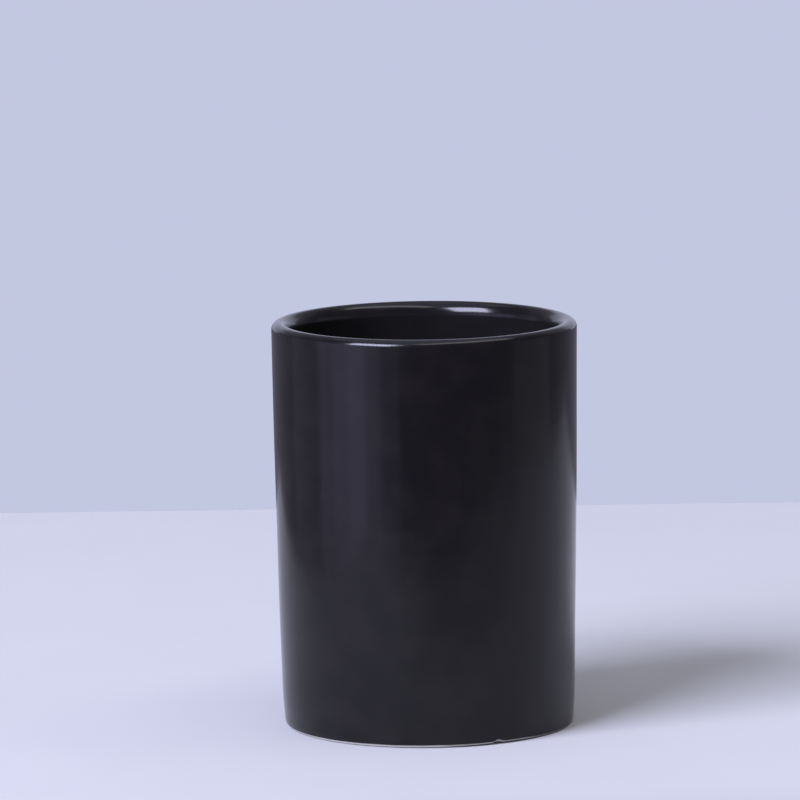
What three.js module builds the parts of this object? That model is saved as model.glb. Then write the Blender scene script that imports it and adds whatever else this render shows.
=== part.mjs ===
// Empty candle jar: a near-straight ceramic cup with a full round rim, in three fired layers.
// The clay body is one piece of wall, floor and foot ring. One coat of glaze covers its outside and
// the rim, and a second coat lines the inside. All three are turned about Z, the axis of the jar.
// Units are millimetres, +Z is up, and the origin is the centre of the foot, on the table.
import * as THREE from 'three';

// Driving dimensions
const HEIGHT = 100;
const TOP_RADIUS = 37.5;
const WALL = 4.7;
const GLAZE = 0.4;
const FLOOR_HEIGHT = 5.4;

// Outside of the wall: it bows a little from the rim down, and draws in over the last TUCK_HEIGHT
const BOW_RADIUS = 37.2;
const BOW_HEIGHT = 55;
const TUCK_RADIUS = 36.1;
const TUCK_HEIGHT = 10;

// Lower edge of the outside glaze, which stops short of the table
const GLAZE_LINE_RADIUS = 35.4;
const GLAZE_LINE_HEIGHT = 0.65;

// The rim is rounded both ways from a crest near the outside, wider and deeper towards the mouth
const RIM_OUTSIDE_WIDTH = 2;
const RIM_OUTSIDE_DROP = 1.85;
const RIM_INSIDE_WIDTH = WALL - RIM_OUTSIDE_WIDTH;
const RIM_INSIDE_DROP = 3.6;
const CREST_RADIUS = TOP_RADIUS - RIM_OUTSIDE_WIDTH;

// Inside corner between wall and floor
const CORNER_RADIUS = 6;

// Foot ring, and the shallow recess within it
const FOOT_OUTER_RADIUS = 33.6;
const FOOT_INNER_RADIUS = 29.5;
const RECESS_RADIUS = 28.3;
const RECESS_DEPTH = 1;

// Fineness of the turned surfaces
const TURNS = 48;
const STEPS = 3;

const BLACK_GLAZE = { color: 0x131314, roughness: 0.15, metalness: 0 };
const BARE_CLAY = { color: 0xc8c6c3, roughness: 0.85, metalness: 0 };

// Profiles lie in a half plane: x is the radius and y is the height.

// Outside of the glaze, from its lower edge up the wall and over the rim to the mouth.
function outsideOfGlaze() {
  const slope = (BOW_RADIUS - TUCK_RADIUS) / (BOW_HEIGHT - TUCK_HEIGHT);
  const middle = TUCK_HEIGHT / 2;
  const path = new THREE.Path();
  path.moveTo(GLAZE_LINE_RADIUS, GLAZE_LINE_HEIGHT);
  path.quadraticCurveTo(TUCK_RADIUS - slope * middle, middle, TUCK_RADIUS, TUCK_HEIGHT);
  path.quadraticCurveTo(BOW_RADIUS, BOW_HEIGHT, TOP_RADIUS, HEIGHT - RIM_OUTSIDE_DROP);
  addRimQuarter(path, RIM_OUTSIDE_WIDTH, RIM_OUTSIDE_DROP, 0);
  addRimQuarter(path, RIM_INSIDE_WIDTH, RIM_INSIDE_DROP, Math.PI / 2);
  return path.getPoints(STEPS);
}

// Surface of the lining, from the mouth down the inside wall and across the floor to the axis.
function surfaceOfLining() {
  const wallRadius = TUCK_RADIUS - WALL;
  const wallFoot = FLOOR_HEIGHT + CORNER_RADIUS;
  const path = new THREE.Path();
  path.moveTo(TOP_RADIUS - WALL, HEIGHT - RIM_INSIDE_DROP);
  path.quadraticCurveTo(BOW_RADIUS - WALL, BOW_HEIGHT, wallRadius, wallFoot);
  path.absarc(wallRadius - CORNER_RADIUS, wallFoot, CORNER_RADIUS, 0, -Math.PI / 2, true);
  path.lineTo(0, FLOOR_HEIGHT);
  return path.getPoints(STEPS);
}

// Quarter of an ellipse below the crest of the rim, anticlockwise from the start angle.
function addRimQuarter(path, width, drop, start) {
  path.absellipse(CREST_RADIUS, HEIGHT - drop, width, drop, start, start + Math.PI / 2, false);
}

// The same outline moved sideways by the depth, to the left of the way it runs.
function inset(outline, depth) {
  return outline.map((point, i) => {
    const before = outline[Math.max(i - 1, 0)];
    const after = outline[Math.min(i + 1, outline.length - 1)];
    const along = after.clone().sub(before).normalize();
    return new THREE.Vector2(Math.max(point.x - along.y * depth, 0), point.y + along.x * depth);
  });
}

// Underside of the clay, from the axis across the recess and the foot ring to the edge of the foot.
function undersideOfClay(edgeOfFoot) {
  const path = new THREE.Path();
  path.moveTo(0, RECESS_DEPTH);
  path.lineTo(RECESS_RADIUS, RECESS_DEPTH);
  path.quadraticCurveTo(FOOT_INNER_RADIUS, RECESS_DEPTH, FOOT_INNER_RADIUS, 0);
  path.lineTo(FOOT_OUTER_RADIUS, 0);
  path.quadraticCurveTo(edgeOfFoot.x, 0, edgeOfFoot.x, edgeOfFoot.y);
  return path.getPoints(STEPS);
}

// Solid of revolution about Z from a profile that closes on itself or on the axis.
function turned(name, profile, finish) {
  const geometry = new THREE.LatheGeometry(profile, TURNS);
  geometry.rotateX(Math.PI / 2);
  const mesh = new THREE.Mesh(geometry, new THREE.MeshStandardMaterial(finish));
  mesh.name = name;
  return mesh;
}

// A coat lies between its own surface and the clay under it, and has an edge at each end.
function coat(name, surface, clay) {
  return turned(name, [...surface, ...clay.toReversed(), surface[0]], BLACK_GLAZE);
}

const outside = outsideOfGlaze();
const lining = surfaceOfLining();
const clay = inset([...outside, ...lining.slice(1)], GLAZE);
const clayUnderOutside = clay.slice(0, outside.length);
const clayUnderLining = clay.slice(outside.length - 1);

const jar = new THREE.Group();
jar.name = 'candle_jar';
jar.add(
  turned('clay_body', [...undersideOfClay(clay[0]), ...clay.slice(1)], BARE_CLAY),
  coat('outer_glaze', outside, clayUnderOutside),
  coat('liner_glaze', lining, clayUnderLining),
);

export default jar;
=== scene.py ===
"""Looks of the empty candle jar: a pale stoneware body under two coats of satin black glaze.

Every piece is turned about Z. Its mesh is a grid: rows run along a profile of radius and height, columns
run round the jar at the angles in AROUND, and every length is in metres, in the frame of the CAD model.
Angles round the jar are in radians, from -Y towards +X, unless a name or comment says degrees.
"""

import math

import bpy
import numpy as np
from mathutils import Euler, Matrix, Vector


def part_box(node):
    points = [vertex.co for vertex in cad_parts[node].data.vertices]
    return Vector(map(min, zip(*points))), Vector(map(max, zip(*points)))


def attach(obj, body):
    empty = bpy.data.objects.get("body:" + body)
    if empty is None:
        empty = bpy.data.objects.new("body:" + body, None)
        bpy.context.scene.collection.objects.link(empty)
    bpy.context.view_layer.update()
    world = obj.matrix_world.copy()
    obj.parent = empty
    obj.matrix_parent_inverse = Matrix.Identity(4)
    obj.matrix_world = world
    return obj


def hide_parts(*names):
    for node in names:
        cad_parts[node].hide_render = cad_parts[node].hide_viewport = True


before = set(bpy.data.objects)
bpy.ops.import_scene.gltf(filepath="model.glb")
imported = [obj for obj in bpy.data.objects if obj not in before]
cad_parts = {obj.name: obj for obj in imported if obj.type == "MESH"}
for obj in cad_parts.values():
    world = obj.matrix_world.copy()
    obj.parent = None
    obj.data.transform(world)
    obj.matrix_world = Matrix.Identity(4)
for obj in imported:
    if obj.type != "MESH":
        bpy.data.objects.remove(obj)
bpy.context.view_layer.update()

MM = 0.001

# ---------------------------------------------------------------- dimensions, from the frame
GLAZE_LOW, GLAZE_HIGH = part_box("outer_glaze")
LINER_LOW, LINER_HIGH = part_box("liner_glaze")
CLAY_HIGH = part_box("clay_body")[1]

TOP_RADIUS = GLAZE_HIGH.x
HEIGHT = GLAZE_HIGH.z
GLAZE = TOP_RADIUS - CLAY_HIGH.x
GLAZE_LINE_HEIGHT = GLAZE_LOW.z
MOUTH_HEIGHT = LINER_HIGH.z
FLOOR_HEIGHT = LINER_LOW.z + GLAZE

# ---------------------------------------------------------------- dimensions, repeated from the CAD source
# The wall bows a little from the rim down, and draws in over the lowest TUCK_HEIGHT.
WALL = 4.7 * MM
BOW_RADIUS = 37.2 * MM
BOW_HEIGHT = 55 * MM
TUCK_RADIUS = 36.1 * MM
TUCK_HEIGHT = 10 * MM
GLAZE_LINE_RADIUS = 35.4 * MM

# The rim is rounded both ways from its crest.
RIM_OUTSIDE_WIDTH = 2.0 * MM
RIM_OUTSIDE_DROP = 1.85 * MM
CREST_RADIUS = TOP_RADIUS - RIM_OUTSIDE_WIDTH

CORNER_RADIUS = 6 * MM
FOOT_OUTER_RADIUS = 33.6 * MM
FOOT_INNER_RADIUS = 29.5 * MM
RECESS_RADIUS = 28.3 * MM
RECESS_DEPTH = 1 * MM

# ---------------------------------------------------------------- what a kiln and a sponge leave
NICK_ANGLE = math.radians(27.9)
NICK_HALF_WIDTH = 1.15 * MM
NICK_HEIGHT = 0.72 * MM

# The glaze's lower edge rises to its thickness over EDGE_ROLL, and a bead swells it just above that.
EDGE_ROLL = 0.30 * MM
BEAD = 0.07 * MM
BEAD_PLACE = 1.1 * MM
BEAD_SPREAD = 0.8 * MM

# Each of these has its size, and the two angles that it lies between.
RIGHT_RUN, RIGHT_RUN_ENDS = 0.58 * MM, (0.80, 2.3)
LEFT_RUN, LEFT_RUN_ENDS = 0.15 * MM, (4.1, 5.42)
UNDERCUT, UNDERCUT_ENDS = 0.17 * MM, (0.17, 0.76)
FULLER_FOOT, FULLER_FOOT_ENDS = 0.22 * MM, (0.95, 2.3)
END_SOFTNESS = 0.09

# Waves round the jar: each has its size, how many there are in a turn, and its phase.
LINE_WAVES = (0.03 * MM, 2, 0.4), (0.04 * MM, 5, 2.1), (0.025 * MM, 13, 1.0), (0.015 * MM, 29, 0)
OVAL_WAVES = (0.05 * MM, 2, 0.8 + math.pi / 2), (0.03 * MM, 3, -1.1 + math.pi / 2)
RIM_WAVES = (-0.06 * MM, 1, 0), (0.01 * MM, 3, 0)
RIM_SUNK = 0.03 * MM

# Columns of every mesh, few enough for under 200,000 triangles a piece, and how closely they gather
COLUMNS = 300
GATHER = 0.8


def angles_round():
    """Angles of the columns, evenly spaced and then gathered towards the nick: a - GATHER sin(a - nick)."""
    even = np.linspace(0, 2 * np.pi, COLUMNS, endpoint=False)
    return even - GATHER * np.sin(even - NICK_ANGLE)


AROUND = angles_round()


# ---------------------------------------------------------------- profiles: rows of (radius, height)
def bend(start, control, end, count):
    """Quadratic curve (1-t)^2 start + 2t(1-t) control + t^2 end, without its last point."""
    t = np.linspace(0, 1, count, endpoint=False)[:, None]
    return (1 - t) ** 2 * np.array(start) + 2 * t * (1 - t) * np.array(control) + t**2 * np.array(end)


def quarter(centre, across, up, first, last, count):
    """Part of an ellipse, centre + (across cos a, up sin a), a from first to last, without its last point."""
    a = np.linspace(first, last, count, endpoint=False)
    return np.stack([centre[0] + across * np.cos(a), centre[1] + up * np.sin(a)], axis=1)


def normals(outline):
    """Unit normals to the right of the way that an outline runs: its direction turned a quarter clockwise."""
    along = np.gradient(outline, axis=0)
    along /= np.linalg.norm(along, axis=1, keepdims=True)
    return np.stack([along[:, 1], -along[:, 0]], axis=1)


def outside_outline():
    """Nominal face of the outside glaze: tuck, bowed wall and the two quarters of the rim."""
    slope = (BOW_RADIUS - TUCK_RADIUS) / (BOW_HEIGHT - TUCK_HEIGHT)
    middle = TUCK_HEIGHT / 2
    shoulder = HEIGHT - RIM_OUTSIDE_DROP
    inside_drop = HEIGHT - MOUTH_HEIGHT
    inside_width = WALL - RIM_OUTSIDE_WIDTH
    line = (GLAZE_LINE_RADIUS, GLAZE_LINE_HEIGHT)
    tuck_end = (TUCK_RADIUS, TUCK_HEIGHT)
    top = (TOP_RADIUS, shoulder)
    tuck = bend(line, (TUCK_RADIUS - slope * middle, middle), tuck_end, count=64)
    wall = bend(tuck_end, (BOW_RADIUS, BOW_HEIGHT), top, count=44)
    outer = quarter((CREST_RADIUS, shoulder), RIM_OUTSIDE_WIDTH, RIM_OUTSIDE_DROP, 0, np.pi / 2, count=22)
    inner = quarter((CREST_RADIUS, MOUTH_HEIGHT), inside_width, inside_drop, np.pi / 2, np.pi, count=24)
    return np.concatenate([tuck, wall, outer, inner, [(TOP_RADIUS - WALL, MOUTH_HEIGHT)]])


def lining_outline():
    """Nominal face of the lining: down the inside wall, round the corner and across the floor to the axis."""
    wall_radius = TUCK_RADIUS - WALL
    wall_foot = FLOOR_HEIGHT + CORNER_RADIUS
    mouth = (TOP_RADIUS - WALL, MOUTH_HEIGHT)
    wall = bend(mouth, (BOW_RADIUS - WALL, BOW_HEIGHT), (wall_radius, wall_foot), count=40)
    centre = (wall_radius - CORNER_RADIUS, wall_foot)
    corner = quarter(centre, CORNER_RADIUS, CORNER_RADIUS, 0, -np.pi / 2, count=20)
    inwards = 1 - np.linspace(0, 1, 20) ** 1.5
    floor = np.stack([centre[0] * inwards, np.full_like(inwards, FLOOR_HEIGHT)], axis=1)
    return np.concatenate([wall, corner, floor])


def clay_outline():
    """Face of the clay under both coats: the nominal glaze moved in by GLAZE, and level at the axis."""
    whole = np.concatenate([outside_outline(), lining_outline()[1:]])
    moved = whole - GLAZE * normals(whole)
    moved[-1] = (0, FLOOR_HEIGHT - GLAZE)
    return moved


def underside_outline(edge):
    """Underside of the clay: recess, foot ring and the rounded edge up to where the glaze starts."""
    outwards = np.linspace(0, 1, 24, endpoint=False) ** 0.7
    recess = np.stack([RECESS_RADIUS * outwards, np.full_like(outwards, RECESS_DEPTH)], axis=1)
    corner = (FOOT_INNER_RADIUS, RECESS_DEPTH)
    step = bend((RECESS_RADIUS, RECESS_DEPTH), corner, (FOOT_INNER_RADIUS, 0), count=10)
    ring = np.linspace((FOOT_INNER_RADIUS, 0), (FOOT_OUTER_RADIUS, 0), 16, endpoint=False)
    rounded = bend((FOOT_OUTER_RADIUS, 0), (edge[0], 0), edge, count=12)
    return np.concatenate([recess, step, ring, rounded])


# ---------------------------------------------------------------- how the fired jar departs from its drawing
def ramp(value, start, length):
    """0 up to start, then a straight rise to 1 over the length, then 1."""
    return np.clip((value - start) / length, 0, 1)


def between(angle, ends):
    """1 from the first of two angles to the second and 0 elsewhere, with a smooth change centred on each."""
    turn = angle % (2 * np.pi)
    risen, fallen = (np.tanh((turn - end) / END_SOFTNESS) for end in ends)
    return 0.25 * (1 + risen) * (1 - fallen)


def waves(angle, parts):
    """Sum of size x sin(number x angle + phase) over the parts."""
    return sum(size * np.sin(number * angle + phase) for size, number, phase in parts)


def nick(angle):
    """Height of the chip in the foot's edge: a bump with a steep left side and a long right side.

    It is NICK_HEIGHT e^(-1.3 |away x side|^2.4), where away is counted along the edge in half widths, and
    side is larger on the steep side.
    """
    turn = (angle - NICK_ANGLE + np.pi) % (2 * np.pi) - np.pi
    away = turn * GLAZE_LINE_RADIUS / NICK_HALF_WIDTH
    side = np.where(away < 0, 1.25, 0.8)
    return NICK_HEIGHT * np.exp(-1.3 * np.abs(away * side) ** 2.4)


def line_wander(angle):
    """How far the wiped lower edge of the glaze rises and falls: its waves, less a run down each side."""
    runs = RIGHT_RUN * between(angle, RIGHT_RUN_ENDS) + LEFT_RUN * between(angle, LEFT_RUN_ENDS)
    return waves(angle, LINE_WAVES) - runs


def undercut(angle):
    """Height of the bevel that the sponge left under the foot's edge, half as high where the nick is."""
    return UNDERCUT * between(angle, UNDERCUT_ENDS) * (1 - 0.5 * nick(angle) / NICK_HEIGHT)


def wobble(angle, height):
    """Radial departure from round: two ovals, a slow twist up the wall and a fuller foot at the right."""
    twist = (0.02 * MM, 5, height / (9 * MM)), (0.012 * MM, 8, -height / (6 * MM))
    fuller = FULLER_FOOT * between(angle, FULLER_FOOT_ENDS) * (1 - ramp(height, 0, 24 * MM))
    return waves(angle, OVAL_WAVES) + waves(angle, twist) + fuller


def fired(outline):
    """Grid of points (x, y, z): a row for each point of the outline, a column for each angle in AROUND.

    The radius gains the wobble, which dies away towards the axis. The height gains three lifts and a tilt:
    the nick is whole at the foot's outer edge and dies away over the lowest few millimetres of wall, the
    wander does the same but leaves the plane of the table alone, and the undercut is whole in that plane and
    gone at the glaze line. All three end within the foot ring. The tilt grows as the height squared.
    """
    radius = outline[:, 0, None] * np.ones(COLUMNS)
    height = outline[:, 1, None] * np.ones(COLUMNS)
    near_table = (1 - ramp(height, 0, 3.2 * MM)) ** 2
    above_table = ramp(height, 0, GLAZE_LINE_HEIGHT)
    nick_part = ramp(radius, FOOT_OUTER_RADIUS - 0.3 * MM, 0.9 * MM) ** 2 * near_table
    wander_part = ramp(radius, FOOT_OUTER_RADIUS - 0.6 * MM, 0.6 * MM) * near_table * above_table
    undercut_part = ramp(radius, FOOT_OUTER_RADIUS - 0.5 * MM, 0.6 * MM) * (1 - above_table)
    lift = nick(AROUND) * nick_part + line_wander(AROUND) * wander_part + undercut(AROUND) * undercut_part
    tilt = (waves(AROUND, RIM_WAVES) - RIM_SUNK) * (height / HEIGHT) ** 2
    radius = radius + wobble(AROUND, height) * ramp(radius, 0, 20 * MM)
    height = height + lift + tilt
    return np.stack([radius * np.sin(AROUND), -radius * np.cos(AROUND), height], axis=2)


# ---------------------------------------------------------------- meshes
def turned(name, grid, finish, poles=False):
    """Mesh from a grid of rows by columns, whose columns close round the jar.

    The last row joins the first, or with poles each of the two closes on a point on the axis.
    """
    rows, columns = grid.shape[:2]
    index = np.arange(rows * columns).reshape(rows, columns)
    below = index[:-1] if poles else index
    above = index[1:] if poles else np.roll(index, -1, axis=0)
    corners = [below, np.roll(below, -1, axis=1), np.roll(above, -1, axis=1), above]
    faces = np.stack(corners, axis=2).reshape(-1, 4).tolist()
    points = grid.reshape(-1, 3)
    if poles:
        points = np.concatenate([points, [grid[0].mean(0) * (0, 0, 1), grid[-1].mean(0) * (0, 0, 1)]])
        first, last = np.full(columns, rows * columns), np.full(columns, rows * columns + 1)
        faces += np.stack([first, np.roll(index[0], -1), index[0]], axis=1).tolist()
        faces += np.stack([last, index[-1], np.roll(index[-1], -1)], axis=1).tolist()
    mesh = bpy.data.meshes.new(name)
    mesh.from_pydata(points.tolist(), [], faces)
    mesh.validate()
    mesh.shade_smooth()
    mesh.set_sharp_from_angle(angle=math.radians(50))
    mesh.materials.append(finish)
    piece = bpy.data.objects.new(name, mesh)
    bpy.context.scene.collection.objects.link(piece)
    return piece


def outside_coat(finish):
    """Outside glaze: out along its face, which is the clay + normal x thickness, and back along the clay.

    The thickness rises from nothing at the lower edge as a quarter round, swells into a bead, then is GLAZE.
    """
    nominal = outside_outline()
    clay = clay_outline()[: len(nominal)]
    along = np.concatenate([[0], np.cumsum(np.linalg.norm(np.diff(clay, axis=0), axis=1))])
    rolled = EDGE_ROLL * (1 - np.cos(np.linspace(0, np.pi / 2, 12, endpoint=False)))
    finer = np.concatenate([rolled, along[along > EDGE_ROLL]])
    clay = np.stack([np.interp(finer, along, clay[:, k]) for k in (0, 1)], axis=1)
    roll = np.sqrt(1 - (1 - ramp(finer, 0, EDGE_ROLL)) ** 2)
    bead = BEAD * np.exp(-((finer - BEAD_PLACE) / BEAD_SPREAD) ** 2)
    face = clay + normals(clay) * ((GLAZE + bead) * roll)[:, None]
    face[-1] = nominal[-1]
    back = clay[::-1][:-1]
    return turned("outer_glaze_coat", fired(np.concatenate([face, back])), finish)


def lining_coat(finish):
    """Lining: out from the axis along the clay and up to the mouth, and back down its own face."""
    face = lining_outline()
    clay = clay_outline()[len(outside_outline()) - 1 :]
    rows = np.concatenate([clay[::-1][1:], face[:-1]])
    return turned("liner_glaze_coat", fired(rows), finish, poles=True)


def clay_jar(finish):
    """Fired clay: underside, foot, outside, rim, inside and floor in one outline, from axis to axis."""
    clay = clay_outline()
    rows = np.concatenate([underside_outline(tuple(clay[0]))[1:], clay[:-1]])
    return turned("fired_clay_body", fired(rows), finish, poles=True)


# ---------------------------------------------------------------- shader maths and materials
class Value:
    """A socket that gives a number or a colour. Arithmetic on it adds Math nodes to its material."""

    def __init__(self, finish, socket):
        self.finish = finish
        self.socket = socket

    def maths(self, operation, *inputs):
        return self.finish.node("ShaderNodeMath", {"operation": operation}, dict(enumerate(inputs)))

    def __add__(self, other):
        return self.maths("ADD", self, other)

    __radd__ = __add__

    def __mul__(self, other):
        return self.maths("MULTIPLY", self, other)

    __rmul__ = __mul__

    def __sub__(self, other):
        return self.maths("SUBTRACT", self, other)

    def __rsub__(self, other):
        return self.maths("SUBTRACT", other, self)

    def __pow__(self, other):
        return self.maths("POWER", self, other)

    def step(self, low, high):
        """0 below low, 1 above high, and a smooth rise between them. With low above high it falls instead."""
        settings = {"interpolation_type": "SMOOTHSTEP"}
        sides = {"From Min": min(low, high), "From Max": max(low, high)}
        risen = self.finish.node("ShaderNodeMapRange", settings, {"Value": self, **sides})
        return risen if low < high else 1 - risen


class Finish:
    """A material with one Principled shader, and methods that add the nodes which feed it."""

    def __init__(self, name, constants):
        self.material = bpy.data.materials.new(name)
        self.material.use_nodes = True
        self.tree = self.material.node_tree
        self.shader = self.tree.nodes["Principled BSDF"]
        for socket, value in constants.items():
            self.shader.inputs[socket].default_value = value

    def node(self, kind, settings, inputs, output=0):
        """Adds a node. Its settings are set first, then each input gets a number, a colour or a Value."""
        made = self.tree.nodes.new(kind)
        for setting, value in settings.items():
            setattr(made, setting, value)
        for socket, value in inputs.items():
            if isinstance(value, Value):
                self.tree.links.new(value.socket, made.inputs[socket])
            else:
                made.inputs[socket].default_value = value
        return Value(self, made.outputs[output])

    def place(self):
        """Where a point is on its object, in metres."""
        return self.node("ShaderNodeTexCoord", {}, {}, "Object")

    def axis(self, name):
        """The point's X, Y or Z."""
        return self.node("ShaderNodeSeparateXYZ", {}, {"Vector": self.place()}, name)

    def noise(self, size, detail, seed):
        """Noise from about 0 to 1 whose blots are about that size in metres."""
        inputs = {"Vector": self.place(), "W": seed, "Scale": 1 / size, "Detail": detail}
        return self.node("ShaderNodeTexNoise", {"noise_dimensions": "4D"}, inputs, "Fac")

    def pits(self, spacing, radius, share):
        """1 in round pits with sloping sides, in that share of the cells of that spacing, and 0 elsewhere."""
        inputs = {"Vector": self.place(), "Scale": 1 / spacing}
        apart = self.node("ShaderNodeTexVoronoi", {}, inputs, "Distance")
        lot = self.node("ShaderNodeTexVoronoi", {}, inputs, "Color")
        drawn = self.node("ShaderNodeSeparateColor", {}, {"Color": lot}, "Red")
        return apart.step(radius / spacing, 0.3 * radius / spacing) * drawn.step(1 - share, 1 - share + 0.01)

    def mix(self, share, first, second):
        """Colour that goes from first to second as share goes from 0 to 1. Inputs 6 and 7 are its colours."""
        return self.node("ShaderNodeMix", {"data_type": "RGBA"}, {"Factor": share, 6: first, 7: second}, 2)

    def feed(self, socket, value):
        """Links a Value to one of the shader's sockets."""
        self.tree.links.new(value.socket, self.shader.inputs[socket])

    def relief(self, height):
        """Bumps the surface by a height in metres."""
        self.feed("Normal", self.node("ShaderNodeBump", {}, {"Strength": 1, "Distance": 1, "Height": height}))


BLACK_OUTSIDE = (0.0038, 0.0033, 0.0039, 1)
# painted light: the lining's black is paler than the outside's, to lift the shaded inside of the jar
BLACK_INSIDE_PAINTED_LIGHT = (0.0082, 0.0077, 0.0080, 1)
BLACK_THIN = (0.0130, 0.0115, 0.0105, 1)

CLAY_PALE = (0.64, 0.62, 0.58, 1)
CLAY_CLOUDED = (0.55, 0.53, 0.495, 1)
# darker in blotches over the lowest 0.12 mm of the clay, where it meets the table
CLAY_DARKER_NEAR_TABLE = (0.24, 0.225, 0.21, 1)
IRON_SPECK = (0.16, 0.11, 0.075, 1)

TABLE_PALE = (0.437, 0.441, 0.437, 1)
TABLE_PALER = (0.463, 0.467, 0.461, 1)
# painted shade: the table darkens towards its front right corner
TABLE_PAINTED_SHADE = (0.02, 0.02, 0.02, 1)


def satin_black(name):
    """Satin black glaze: a smooth glassy coat, faintly mottled, with orange peel and a few pinholes.

    It is a shade paler inside than outside: painted light that lifts the shaded inside. It thins over the
    crest of the rim. Both coats share the colours, so that no line shows where they meet in the mouth.
    """
    finish = Finish(name, {"IOR": 1.36})
    height = finish.axis("Z")
    radius = (finish.axis("X") ** 2 + finish.axis("Y") ** 2) ** 0.5
    within = radius.step(CREST_RADIUS, CREST_RADIUS - 1 * MM)
    # painted light: the inside of the mouth and the lining take the paler black
    inside = within * height.step(MOUTH_HEIGHT + 1.2 * MM, MOUTH_HEIGHT)
    black = finish.mix(inside, BLACK_OUTSIDE, BLACK_INSIDE_PAINTED_LIGHT)
    mottle = finish.noise(9 * MM, detail=3, seed=1)
    grain = finish.noise(0.7 * MM, detail=3, seed=2)
    crest = height.step(HEIGHT - 0.9 * MM, HEIGHT)
    thin = crest * finish.noise(2 * MM, detail=2, seed=3).step(0.3, 0.8)
    finish.feed("Base Color", finish.mix(mottle.step(0.35, 0.75) * 0.35 + thin * 0.5, black, BLACK_THIN))
    pinholes = finish.pits(spacing=7 * MM, radius=0.16 * MM, share=0.1)
    finish.feed("Roughness", 0.145 + 0.03 * mottle.step(0.3, 0.7) + 0.03 * (grain - 0.5))
    swell = finish.noise(5 * MM, detail=1, seed=4) * (0.012 * MM)
    peel = finish.noise(1.1 * MM, detail=2, seed=5) * (0.0022 * MM)
    finish.relief(swell + peel - pinholes * (0.05 * MM))
    return finish.material


def bare_clay():
    """Unglazed stoneware: warm grey-white, matt and gritty, with iron specks, and darker in blotches where
    the foot meets the table.
    """
    finish = Finish("bare_stoneware", {"IOR": 1.45})
    cloud = finish.noise(6 * MM, detail=4, seed=11)
    grit = finish.noise(0.35 * MM, detail=4, seed=12)
    speck = finish.noise(0.55 * MM, detail=2, seed=13).step(0.66, 0.72)
    # darker in blotches over the lowest 0.12 mm, where the clay meets the table
    on_table = finish.axis("Z").step(0.12 * MM, 0.0)
    darker_near_table = on_table * finish.noise(3 * MM, detail=5, seed=14).step(0.45, 0.7)
    body = finish.mix(cloud.step(0.3, 0.7), CLAY_PALE, CLAY_CLOUDED)
    body = finish.mix(darker_near_table * 0.5, body, CLAY_DARKER_NEAR_TABLE)
    body = finish.mix(speck * 0.7, body, IRON_SPECK)
    finish.feed("Base Color", body)
    finish.feed("Roughness", 0.78 + 0.14 * grit)
    finish.relief(grit * (0.05 * MM) + cloud * (0.03 * MM))
    return finish.material


def table_top():
    """Plain pale table: matt, very faintly uneven, and darkened by painted shade towards its front right
    corner.

    The painted shade darkens what the right of the wall reflects near the foot.
    """
    finish = Finish("pale_table", {"Roughness": 0.9, "Specular IOR Level": 0.2})
    pale = finish.mix(finish.noise(40 * MM, detail=3, seed=21), TABLE_PALE, TABLE_PALER)
    # painted shade, strongest at the front right corner of the table
    corner = finish.axis("X").step(-60 * MM, 40 * MM) * finish.axis("Y").step(-80 * MM, -150 * MM)
    finish.feed("Base Color", finish.mix(corner * 0.32, pale, TABLE_PAINTED_SHADE))
    return finish.material


# ---------------------------------------------------------------- table, light and camera
TABLE_LEFT, TABLE_RIGHT = -230 * MM, 420 * MM
TABLE_FRONT, TABLE_BACK = -250 * MM, 330 * MM
TABLE_THICK = 30 * MM
TABLE_ROUNDING = 4 * MM
TABLE_TURN = math.radians(0.3)


def table():
    """Rectangular slab with rounded edges, whose top is the plane that the jar stands on."""
    corners = np.array([(TABLE_LEFT, TABLE_FRONT), (TABLE_RIGHT, TABLE_FRONT),
                        (TABLE_RIGHT, TABLE_BACK), (TABLE_LEFT, TABLE_BACK)])
    cos, sin = math.cos(TABLE_TURN), math.sin(TABLE_TURN)
    corners = corners @ np.array([[cos, sin], [-sin, cos]])
    points = [(x, y, z) for z in (-TABLE_THICK, 0) for x, y in corners]
    faces = [(3, 2, 1, 0), (4, 5, 6, 7), (0, 1, 5, 4), (1, 2, 6, 5), (2, 3, 7, 6), (3, 0, 4, 7)]
    mesh = bpy.data.meshes.new("table")
    mesh.from_pydata(points, [], faces)
    mesh.materials.append(table_top())
    slab = bpy.data.objects.new("table", mesh)
    bpy.context.scene.collection.objects.link(slab)
    rounded = slab.modifiers.new("rounded", "BEVEL")
    rounded.width = TABLE_ROUNDING
    rounded.segments = 4


# Soft panels of light that face the middle of the jar. Each has its name, azimuth from -Y towards +X and
# elevation in degrees, distance, width and height in metres, power in watts, and colour.
LEFT_COLOUR = (0.66, 0.63, 1.0)
PANELS = (
    ("key", -45, 38, 4.5, 2.5, 2.16, 440, (0.735, 0.745, 1.0)),
    ("high", 50, 69, 1.2, 1.3, 0.26, 3.6, (1.0, 0.93, 0.88)),
    ("top", 0, 89.9, 1.2, 1.4, 1.4, 4.4, (0.68, 0.80, 1.0)),
    ("left", -97, 5, 1.0, 0.75, 0.6, 0.34, LEFT_COLOUR),
    ("left", -66, 5, 1.0, 0.75, 0.6, 0.98, LEFT_COLOUR),
    ("left", -54, 5, 1.0, 0.75, 0.6, 0.80, LEFT_COLOUR),
    ("left", -40, 5, 1.0, 0.75, 0.6, 0.52, LEFT_COLOUR),
    ("right", 88, 5, 1.0, 0.7, 0.6, 0.24, (0.95, 0.92, 1.0)),
    ("behind_low", 180, 13, 1.3, 1.8, 0.56, 2.2, (0.72, 0.76, 1.0)),
    ("behind_high", 180, 35, 1.45, 3.2, 0.9, 0.9, (0.83, 0.88, 1.0)),
)
BACKDROP = (0.545, 0.575, 0.755, 1)
AMBIENT = (0.209, 0.198, 0.262, 1)


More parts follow.
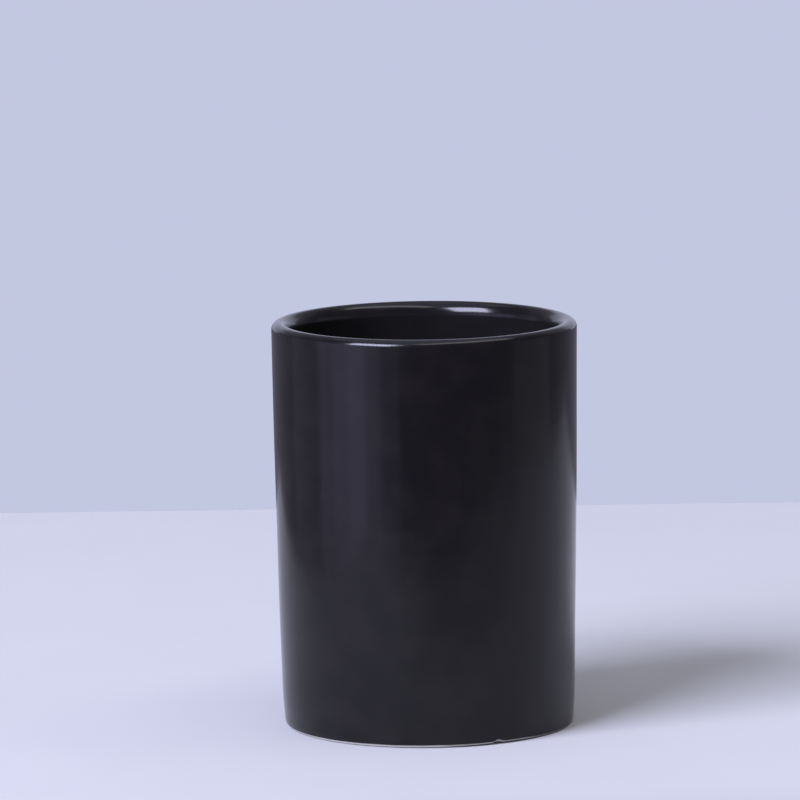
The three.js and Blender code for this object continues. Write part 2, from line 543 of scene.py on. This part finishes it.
def panel(name, azimuth, elevation, distance, width, height, power, colour):
    """Adds one panel. It lights the scene and shows in reflections, and the camera looks through it."""
    light = bpy.data.lights.new(name, "AREA")
    light.shape = "RECTANGLE"
    light.size = width
    light.size_y = height
    light.energy = power
    light.color = colour
    lamp = bpy.data.objects.new(name, light)
    a, e = math.radians(azimuth), math.radians(elevation)
    towards = Vector((math.sin(a) * math.cos(e), -math.cos(a) * math.cos(e), math.sin(e)))
    middle = Vector((0, 0, HEIGHT / 2))
    lamp.location = middle + distance * towards
    lamp.rotation_euler = (middle - lamp.location).to_track_quat("-Z", "Y").to_euler()
    lamp.visible_camera = False
    bpy.context.scene.collection.objects.link(lamp)


def studio():
    """The panels, and a world that the camera sees as the backdrop and everything else sees as ambient."""
    for row in PANELS:
        panel(*row)
    world = bpy.data.worlds.new("studio")
    bpy.context.scene.world = world
    world.use_nodes = True
    tree = world.node_tree
    shown = tree.nodes["Background"]
    shown.inputs["Color"].default_value = BACKDROP
    ambient = tree.nodes.new("ShaderNodeBackground")
    ambient.inputs["Color"].default_value = AMBIENT
    path = tree.nodes.new("ShaderNodeLightPath")
    either = tree.nodes.new("ShaderNodeMixShader")
    tree.links.new(path.outputs["Is Camera Ray"], either.inputs["Fac"])
    tree.links.new(ambient.outputs["Background"], either.inputs[1])
    tree.links.new(shown.outputs["Background"], either.inputs[2])
    tree.links.new(either.outputs["Shader"], tree.nodes["World Output"].inputs["Surface"])
    bpy.context.scene.view_settings.view_transform = "Standard"


CAMERA_DISTANCE = 45 * TOP_RADIUS
CAMERA_TILT = math.radians(8.41)
CAMERA_ROLL = math.radians(-0.75)
CAMERA_LEFT = 0.164 * TOP_RADIUS
CAMERA_RAISED = 0.797 * TOP_RADIUS
LENS = 308.4
SENSOR_WIDTH = 36


def camera():
    """Long lens looking down at CAMERA_TILT, moved left and up so that the jar sits low and to the right."""
    ahead = Vector((0, math.cos(CAMERA_TILT), -math.sin(CAMERA_TILT)))
    up = Vector((0, math.sin(CAMERA_TILT), math.cos(CAMERA_TILT)))
    right = Vector((1, 0, 0))
    eye = bpy.data.cameras.new("camera")
    eye.lens = LENS
    eye.sensor_width = SENSOR_WIDTH
    shot = bpy.data.objects.new("camera", eye)
    middle = Vector((0, 0, HEIGHT / 2))
    place = middle - CAMERA_DISTANCE * ahead - CAMERA_LEFT * right + CAMERA_RAISED * up
    facing = Euler((math.pi / 2 - CAMERA_TILT, 0, 0)).to_matrix().to_4x4()
    shot.matrix_world = Matrix.Translation(place) @ facing @ Matrix.Rotation(CAMERA_ROLL, 4, "Z")
    bpy.context.scene.collection.objects.link(shot)
    bpy.context.scene.camera = shot


def main():
    """Makes the pieces, hangs each from the root body and hides the CAD node that it stands for, and lights
    them.
    """
    outside = outside_coat(satin_black("satin_black_outside"))
    lining = lining_coat(satin_black("satin_black_lining"))
    body = clay_jar(bare_clay())
    for piece, node, finish in (
        (outside, "outer_glaze", "outer_glaze"),
        (lining, "liner_glaze", "liner_glaze"),
        (body, "clay_body", "bare_clay"),
    ):
        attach(piece, "root")
        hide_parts(node)
    table()
    studio()
    camera()


main()
